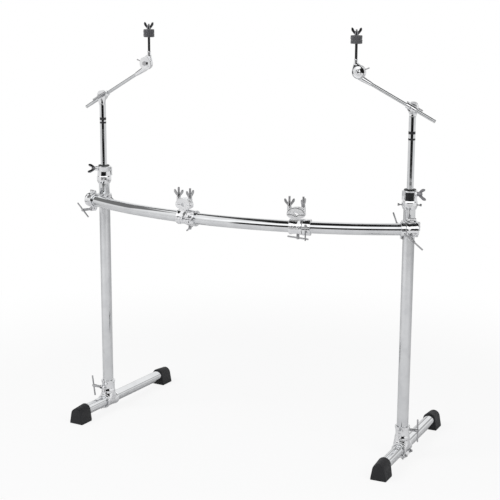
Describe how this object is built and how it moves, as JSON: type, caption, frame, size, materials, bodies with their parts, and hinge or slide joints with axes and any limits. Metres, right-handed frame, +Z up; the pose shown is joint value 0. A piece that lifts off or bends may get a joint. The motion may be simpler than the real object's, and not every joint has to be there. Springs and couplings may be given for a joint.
{
  "type": "drum rack frame",
  "caption": "Free-standing chrome drum rack: a curved bar on height-adjustable posts and foot bars, with boom arms and holder clamps.",
  "frame": {"origin": "on the floor, under the middle of the box round the whole rack", "axes": "+Z up, -Y towards the audience, where the curved bar bulges, +X along the bar towards its right end as the audience sees it"},
  "size_m": [1.2826, 0.606, 1.4039],
  "materials": {
    "curved_bar": "bright polished plating",
    "right_corner_stop_ring": "plated casting, slightly softer gloss",
    "left_corner_clamp": "plated casting, slightly softer gloss",
    "left_corner_bar_cap": "plated casting, slightly softer gloss",
    "left_corner_bar_t_screw": "bright polished plating",
    "left_corner_post_cap": "plated casting, slightly softer gloss",
    "left_corner_post_t_screw": "bright polished plating",
    "left_post": "bright polished plating",
    "left_boom_clamp": "plated casting, slightly softer gloss",
    "left_boom_clamp_bushing": "satin moulded nylon",
    "left_boom_clamp_wing_screw": "bright polished plating",
    "left_leg_clamp": "plated casting, slightly softer gloss",
    "left_leg_cap": "plated casting, slightly softer gloss",
    "left_leg_t_screw": "bright polished plating",
    "left_foot_tube": "bright polished plating",
    "left_front_foot": "matt moulded rubber",
    "left_rear_foot": "matt moulded rubber",
    "left_boom_tube": "bright polished plating",
    "left_boom_hub_clamp": "plated casting, slightly softer gloss",
    "left_boom_hub_t_screw": "bright polished plating",
    "left_boom_rod": "bright polished plating",
    "left_tilter_head": "plated casting, slightly softer gloss",
    "left_cymbal_felts": "pressed felt",
    "left_cymbal_wing_nut": "bright polished plating",
    "left_holder_clamp": "plated casting, slightly softer gloss",
    "left_holder_bar_cap": "plated casting, slightly softer gloss",
    "left_holder_bar_t_screw": "bright polished plating",
    "left_holder_upper_grip": "plated casting, slightly softer gloss",
    "left_holder_left_wing_nut": "bright polished plating",
    "left_holder_right_wing_nut": "bright polished plating",
    "left_holder_stop_ring": "plated casting, slightly softer gloss",
    "right_corner_clamp": "plated casting, slightly softer gloss",
    "right_corner_bar_cap": "plated casting, slightly softer gloss",
    "right_corner_bar_t_screw": "bright polished plating",
    "right_corner_post_cap": "plated casting, slightly softer gloss",
    "right_corner_post_t_screw": "bright polished plating",
    "right_post": "bright polished plating",
    "right_boom_clamp": "plated casting, slightly softer gloss",
    "right_boom_clamp_bushing": "satin moulded nylon",
    "right_boom_clamp_wing_screw": "bright polished plating",
    "right_leg_clamp": "plated casting, slightly softer gloss",
    "right_leg_cap": "plated casting, slightly softer gloss",
    "right_leg_t_screw": "bright polished plating",
    "right_foot_tube": "bright polished plating",
    "right_front_foot": "matt moulded rubber",
    "right_rear_foot": "matt moulded rubber",
    "right_boom_tube": "bright polished plating",
    "right_boom_hub_clamp": "plated casting, slightly softer gloss",
    "right_boom_hub_t_screw": "bright polished plating",
    "right_boom_rod": "bright polished plating",
    "right_tilter_head": "plated casting, slightly softer gloss",
    "right_cymbal_felts": "pressed felt",
    "right_cymbal_wing_nut": "bright polished plating",
    "right_holder_clamp": "plated casting, slightly softer gloss",
    "right_holder_bar_cap": "plated casting, slightly softer gloss",
    "right_holder_bar_t_screw": "bright polished plating",
    "right_holder_upper_grip": "plated casting, slightly softer gloss",
    "right_holder_left_wing_nut": "bright polished plating",
    "right_holder_right_wing_nut": "bright polished plating",
    "right_holder_stop_ring": "plated casting, slightly softer gloss"
  },
  "bodies": {
    "bar": {"curved_bar": "curved_bar"},
    "left_corner": {"left_corner_clamp": "left_corner_clamp"},
    "left_corner_bar_cap": {"left_corner_bar_cap": "left_corner_bar_cap"},
    "left_corner_bar_t_screw": {"left_corner_bar_t_screw": "left_corner_bar_t_screw"},
    "left_post": {"left_post": "left_post", "left_boom_clamp": "left_boom_clamp"},
    "left_corner_post_cap": {"left_corner_post_cap": "left_corner_post_cap"},
    "left_corner_post_t_screw": {"left_corner_post_t_screw": "left_corner_post_t_screw"},
    "left_boom_clamp_wing_screw": {"left_boom_clamp_wing_screw": "left_boom_clamp_wing_screw"},
    "left_leg": {"left_leg_clamp": "left_leg_clamp"},
    "left_leg_cap": {"left_leg_cap": "left_leg_cap"},
    "left_leg_t_screw": {"left_leg_t_screw": "left_leg_t_screw"},
    "left_foot": {"left_foot_tube": "left_foot_tube", "left_front_foot": "left_front_foot", "left_rear_foot": "left_rear_foot"},
    "left_boom_clamp_bushing": {"left_boom_clamp_bushing": "left_boom_clamp_bushing"},
    "left_boom_tube": {"left_boom_tube": "left_boom_tube"},
    "left_boom_hub": {"left_boom_hub_clamp": "left_boom_hub_clamp"},
    "left_boom_hub_t_screw": {"left_boom_hub_t_screw": "left_boom_hub_t_screw"},
    "left_boom_rod": {"left_boom_rod": "left_boom_rod"},
    "left_tilter_head": {"left_tilter_head": "left_tilter_head"},
    "left_cymbal_felts": {"left_cymbal_felts": "left_cymbal_felts"},
    "left_cymbal_wing_nut": {"left_cymbal_wing_nut": "left_cymbal_wing_nut"},
    "left_holder_ring": {"left_holder_stop_ring": "left_holder_stop_ring"},
    "left_holder": {"left_holder_clamp": "left_holder_clamp"},
    "left_holder_bar_cap": {"left_holder_bar_cap": "left_holder_bar_cap"},
    "left_holder_bar_t_screw": {"left_holder_bar_t_screw": "left_holder_bar_t_screw"},
    "left_holder_upper_grip": {"left_holder_upper_grip": "left_holder_upper_grip"},
    "left_holder_left_wing_nut": {"left_holder_left_wing_nut": "left_holder_left_wing_nut"},
    "left_holder_right_wing_nut": {"left_holder_right_wing_nut": "left_holder_right_wing_nut"},
    "right_corner": {"right_corner_clamp": "right_corner_clamp"},
    "right_corner_bar_cap": {"right_corner_bar_cap": "right_corner_bar_cap"},
    "right_corner_bar_t_screw": {"right_corner_bar_t_screw": "right_corner_bar_t_screw"},
    "right_post": {"right_post": "right_post", "right_boom_clamp": "right_boom_clamp"},
    "right_corner_post_cap": {"right_corner_post_cap": "right_corner_post_cap"},
    "right_corner_post_t_screw": {"right_corner_post_t_screw": "right_corner_post_t_screw"},
    "right_boom_clamp_wing_screw": {"right_boom_clamp_wing_screw": "right_boom_clamp_wing_screw"},
    "right_leg": {"right_leg_clamp": "right_leg_clamp"},
    "right_leg_cap": {"right_leg_cap": "right_leg_cap"},
    "right_leg_t_screw": {"right_leg_t_screw": "right_leg_t_screw"},
    "right_foot": {"right_foot_tube": "right_foot_tube", "right_front_foot": "right_front_foot", "right_rear_foot": "right_rear_foot"},
    "right_boom_clamp_bushing": {"right_boom_clamp_bushing": "right_boom_clamp_bushing"},
    "right_boom_tube": {"right_boom_tube": "right_boom_tube"},
    "right_boom_hub": {"right_boom_hub_clamp": "right_boom_hub_clamp"},
    "right_boom_hub_t_screw": {"right_boom_hub_t_screw": "right_boom_hub_t_screw"},
    "right_boom_rod": {"right_boom_rod": "right_boom_rod"},
    "right_tilter_head": {"right_tilter_head": "right_tilter_head"},
    "right_cymbal_felts": {"right_cymbal_felts": "right_cymbal_felts"},
    "right_cymbal_wing_nut": {"right_cymbal_wing_nut": "right_cymbal_wing_nut"},
    "right_holder_ring": {"right_holder_stop_ring": "right_holder_stop_ring"},
    "right_holder": {"right_holder_clamp": "right_holder_clamp"},
    "right_holder_bar_cap": {"right_holder_bar_cap": "right_holder_bar_cap"},
    "right_holder_bar_t_screw": {"right_holder_bar_t_screw": "right_holder_bar_t_screw"},
    "right_holder_upper_grip": {"right_holder_upper_grip": "right_holder_upper_grip"},
    "right_holder_left_wing_nut": {"right_holder_left_wing_nut": "right_holder_left_wing_nut"},
    "right_holder_right_wing_nut": {"right_holder_right_wing_nut": "right_holder_right_wing_nut"},
    "right_corner_ring": {"right_corner_stop_ring": "right_corner_stop_ring"}
  },
  "joints": [
    {"name": "left_corner_along_bar", "type": "hinge", "parent": "bar", "child": "left_corner", "pos_m": [-0.0014, 0.99199, 0.782], "axis": [0, 0, 1], "range_deg": [-0.6, 7]},
    {"name": "left_corner_bar_t_screw_travel", "type": "slide", "parent": "left_corner", "child": "left_corner_bar_t_screw", "axis": [-0.4656, -0.885, 0], "range_m": [0, 0.01]},
    {"name": "left_corner_bar_cap_hinge", "type": "hinge", "parent": "left_corner", "child": "left_corner_bar_cap", "pos_m": [-0.58482, -0.1169, 0.813], "axis": [-0.885, 0.4656, 0], "range_deg": [0, 8]},
    {"name": "left_post_height", "type": "slide", "parent": "left_corner", "child": "left_post", "axis": [0, 0, 1], "range_m": [-0.033, 0.5]},
    {"name": "left_corner_post_t_screw_travel", "type": "slide", "parent": "left_corner", "child": "left_corner_post_t_screw", "axis": [0.4656, 0.885, 0], "range_m": [0, 0.01]},
    {"name": "left_corner_post_cap_hinge", "type": "hinge", "parent": "left_corner", "child": "left_corner_post_cap", "pos_m": [-0.53597, -0.09063, 0.782], "axis": [0, 0, -1], "range_deg": [0, 8]},
    {"name": "left_boom_clamp_wing_screw_turn", "type": "hinge", "parent": "left_post", "child": "left_boom_clamp_wing_screw", "pos_m": [-0.5634, -0.07619, 0.89], "axis": [-0.9063, -0.4226, 0], "continuous": true},
    {"name": "left_leg_swing", "type": "hinge", "parent": "left_post", "child": "left_leg", "pos_m": [-0.5634, -0.07619, 0.036], "axis": [0, 0, 1], "range_deg": [-60, 60]},
    {"name": "left_leg_t_screw_travel", "type": "slide", "parent": "left_leg", "child": "left_leg_t_screw", "axis": [-0.9956, 0.0941, 0], "range_m": [0, 0.01]},
    {"name": "left_leg_cap_hinge", "type": "hinge", "parent": "left_leg", "child": "left_leg_cap", "pos_m": [-0.56049, -0.04533, 0.09], "axis": [0, 0, -1], "range_deg": [0, 8]},
    {"name": "left_foot_shift", "type": "slide", "parent": "left_leg", "child": "left_foot", "axis": [-0.0941, -0.9956, 0], "range_m": [-0.098, 0.27]},
    {"name": "left_boom_swivel", "type": "hinge", "parent": "left_post", "child": "left_boom_clamp_bushing", "pos_m": [-0.5634, -0.07619, 0.862], "axis": [0, 0, 1], "range_deg": [-90, 90]},
    {"name": "left_boom_height", "type": "slide", "parent": "left_boom_clamp_bushing", "child": "left_boom_tube", "axis": [0, 0, 1], "range_m": [-0.15, 0.23]},
    {"name": "left_boom_tilt", "type": "hinge", "parent": "left_boom_tube", "child": "left_boom_hub", "pos_m": [-0.5634, -0.07619, 1.147], "axis": [0, -1, 0], "range_deg": [-75, 22]},
    {"name": "left_boom_hub_t_screw_turn", "type": "hinge", "parent": "left_boom_hub", "child": "left_boom_hub_t_screw", "pos_m": [-0.5634, -0.07619, 1.147], "axis": [0, -1, 0], "continuous": true},
    {"name": "left_boom_rod_reach", "type": "slide", "parent": "left_boom_hub", "child": "left_boom_rod", "axis": [-0.8572, 0, -0.515], "range_m": [-0.055, 0.126]},
    {"name": "left_tilter_tilt", "type": "hinge", "parent": "left_boom_rod", "child": "left_tilter_head", "pos_m": [-0.39609, -0.06119, 1.2627], "axis": [0, -1, 0], "range_deg": [-60, 60]},
    {"name": "left_cymbal_felts_travel", "type": "slide", "parent": "left_tilter_head", "child": "left_cymbal_felts", "axis": [0, 0, 1], "range_m": [-0.045, 0]},
    {"name": "left_cymbal_wing_nut_turn", "type": "hinge", "parent": "left_tilter_head", "child": "left_cymbal_wing_nut", "pos_m": [-0.3871, -0.05674, 1.3775], "axis": [0, 0, 1], "continuous": true},
    {"name": "left_holder_along_bar", "type": "hinge", "parent": "bar", "child": "left_holder_ring", "pos_m": [-0.0014, 0.99199, 0.782], "axis": [0, 0, 1], "range_deg": [-8, 6]},
    {"name": "left_holder_tilt", "type": "hinge", "parent": "left_holder_ring", "child": "left_holder", "pos_m": [-0.15302, -0.25181, 0.782], "axis": [0.9927, -0.121, 0], "range_deg": [-100, 50]},
    {"name": "left_holder_bar_t_screw_travel", "type": "slide", "parent": "left_holder", "child": "left_holder_bar_t_screw", "axis": [0, 0, -1], "range_m": [0, 0.01]},
    {"name": "left_holder_bar_cap_hinge", "type": "hinge", "parent": "left_holder", "child": "left_holder_bar_cap", "pos_m": [-0.15677, -0.28258, 0.782], "axis": [-0.9927, 0.121, 0], "range_deg": [0, 8]},
    {"name": "left_holder_upper_grip_lift", "type": "slide", "parent": "left_holder", "child": "left_holder_upper_grip", "axis": [0, 0, 1], "range_m": [0, 0.012]},
    {"name": "left_holder_left_wing_nut_turn", "type": "hinge", "parent": "left_holder_upper_grip", "child": "left_holder_left_wing_nut", "pos_m": [-0.17536, -0.24909, 0.8485], "axis": [0, 0, 1], "continuous": true},
    {"name": "left_holder_right_wing_nut_turn", "type": "hinge", "parent": "left_holder_upper_grip", "child": "left_holder_right_wing_nut", "pos_m": [-0.13069, -0.25453, 0.8485], "axis": [0, 0, 1], "continuous": true},
    {"name": "right_corner_along_bar", "type": "hinge", "parent": "bar", "child": "right_corner", "pos_m": [-0.0014, 0.99199, 0.782], "axis": [0, 0, 1], "range_deg": [-7, 0.6]},
    {"name": "right_corner_bar_t_screw_travel", "type": "slide", "parent": "right_corner", "child": "right_corner_bar_t_screw", "axis": [0.4656, -0.885, 0], "range_m": [0, 0.01]},
    {"name": "right_corner_bar_cap_hinge", "type": "hinge", "parent": "right_corner", "child": "right_corner_bar_cap", "pos_m": [0.58201, -0.1169, 0.813], "axis": [-0.885, -0.4656, 0], "range_deg": [0, 8]},
    {"name": "right_post_height", "type": "slide", "parent": "right_corner", "child": "right_post", "axis": [0, 0, 1], "range_m": [-0.033, 0.5]},
    {"name": "right_corner_post_t_screw_travel", "type": "slide", "parent": "right_corner", "child": "right_corner_post_t_screw", "axis": [-0.4656, 0.885, 0], "range_m": [0, 0.01]},
    {"name": "right_corner_post_cap_hinge", "type": "hinge", "parent": "right_corner", "child": "right_corner_post_cap", "pos_m": [0.58803, -0.06176, 0.782], "axis": [0, 0, -1], "range_deg": [0, 8]},
    {"name": "right_boom_clamp_wing_screw_turn", "type": "hinge", "parent": "right_post", "child": "right_boom_clamp_wing_screw", "pos_m": [0.5606, -0.07619, 0.89], "axis": [0.9744, -0.225, 0], "continuous": true},
    {"name": "right_leg_swing", "type": "hinge", "parent": "right_post", "child": "right_leg", "pos_m": [0.5606, -0.07619, 0.036], "axis": [0, 0, 1], "range_deg": [-60, 60]},
    {"name": "right_leg_t_screw_travel", "type": "slide", "parent": "right_leg", "child": "right_leg_t_screw", "axis": [0.9998, -0.0192, 0], "range_m": [0, 0.01]},
    {"name": "right_leg_cap_hinge", "type": "hinge", "parent": "right_leg", "child": "right_leg_cap", "pos_m": [0.56, -0.10719, 0.09], "axis": [0, 0, -1], "range_deg": [0, 8]},
    {"name": "right_foot_shift", "type": "slide", "parent": "right_leg", "child": "right_foot", "axis": [0.0192, 0.9998, 0], "range_m": [-0.245, 0.125]},
    {"name": "right_boom_swivel", "type": "hinge", "parent": "right_post", "child": "right_boom_clamp_bushing", "pos_m": [0.5606, -0.07619, 0.862], "axis": [0, 0, 1], "range_deg": [-90, 90]},
    {"name": "right_boom_height", "type": "slide", "parent": "right_boom_clamp_bushing", "child": "right_boom_tube", "axis": [0, 0, 1], "range_m": [-0.15, 0.23]},
    {"name": "right_boom_tilt", "type": "hinge", "parent": "right_boom_tube", "child": "right_boom_hub", "pos_m": [0.5606, -0.07619, 1.162], "axis": [0, 1, 0], "range_deg": [-70, 26]},
    {"name": "right_boom_hub_t_screw_turn", "type": "hinge", "parent": "right_boom_hub", "child": "right_boom_hub_t_screw", "pos_m": [0.5606, -0.07619, 1.162], "axis": [0, 1, 0], "continuous": true},
    {"name": "right_boom_rod_reach", "type": "slide", "parent": "right_boom_hub", "child": "right_boom_rod", "axis": [0.8926, 0, -0.4509], "range_m": [-0.055, 0.126]},
    {"name": "right_tilter_tilt", "type": "hinge", "parent": "right_boom_rod", "child": "right_tilter_head", "pos_m": [0.38526, -0.09119, 1.26513], "axis": [0, 1, 0], "range_deg": [-60, 60]},
    {"name": "right_cymbal_felts_travel", "type": "slide", "parent": "right_tilter_head", "child": "right_cymbal_felts", "axis": [0, 0, 1], "range_m": [-0.045, 0]},
    {"name": "right_cymbal_wing_nut_turn", "type": "hinge", "parent": "right_tilter_head", "child": "right_cymbal_wing_nut", "pos_m": [0.37626, -0.09564, 1.37993], "axis": [0, 0, 1], "continuous": true},
    {"name": "right_holder_along_bar", "type": "hinge", "parent": "bar", "child": "right_holder_ring", "pos_m": [-0.0014, 0.99199, 0.782], "axis": [0, 0, 1], "range_deg": [-8, 6]},
    {"name": "right_holder_tilt", "type": "hinge", "parent": "right_holder_ring", "child": "right_holder", "pos_m": [0.23875, -0.23778, 0.782], "axis": [0.9815, 0.1917, 0], "range_deg": [-45, 50]},
    {"name": "right_holder_bar_t_screw_travel", "type": "slide", "parent": "right_holder", "child": "right_holder_bar_t_screw", "axis": [0, 0, -1], "range_m": [0, 0.01]},
    {"name": "right_holder_bar_cap_hinge", "type": "hinge", "parent": "right_holder", "child": "right_holder_bar_cap", "pos_m": [0.24469, -0.26821, 0.782], "axis": [-0.9815, -0.1917, 0], "range_deg": [0, 8]},
    {"name": "right_holder_upper_grip_lift", "type": "slide", "parent": "right_holder", "child": "right_holder_upper_grip", "axis": [0, 0, 1], "range_m": [0, 0.012]},
    {"name": "right_holder_left_wing_nut_turn", "type": "hinge", "parent": "right_holder_upper_grip", "child": "right_holder_left_wing_nut", "pos_m": [0.21667, -0.2421, 0.8485], "axis": [0, 0, 1], "continuous": true},
    {"name": "right_holder_right_wing_nut_turn", "type": "hinge", "parent": "right_holder_upper_grip", "child": "right_holder_right_wing_nut", "pos_m": [0.26083, -0.23347, 0.8485], "axis": [0, 0, 1], "continuous": true},
    {"name": "right_corner_ring_along_bar", "type": "hinge", "parent": "right_corner", "child": "right_corner_ring", "pos_m": [-0.0014, 0.99199, 0.782], "axis": [0, 0, 1], "range_deg": [-6, 0]}
  ],
  "couplings": [
    {"joint": "left_corner_bar_cap_hinge", "follows": "left_corner_bar_t_screw_travel", "rad_per_m": 13.949},
    {"joint": "left_corner_post_cap_hinge", "follows": "left_corner_post_t_screw_travel", "rad_per_m": 13.949},
    {"joint": "left_leg_cap_hinge", "follows": "left_leg_t_screw_travel", "rad_per_m": 13.949},
    {"joint": "left_holder_bar_cap_hinge", "follows": "left_holder_bar_t_screw_travel", "rad_per_m": 13.949},
    {"joint": "right_corner_bar_cap_hinge", "follows": "right_corner_bar_t_screw_travel", "rad_per_m": 13.949},
    {"joint": "right_corner_post_cap_hinge", "follows": "right_corner_post_t_screw_travel", "rad_per_m": 13.949},
    {"joint": "right_leg_cap_hinge", "follows": "right_leg_t_screw_travel", "rad_per_m": 13.949},
    {"joint": "right_holder_bar_cap_hinge", "follows": "right_holder_bar_t_screw_travel", "rad_per_m": 13.949}
  ]
}
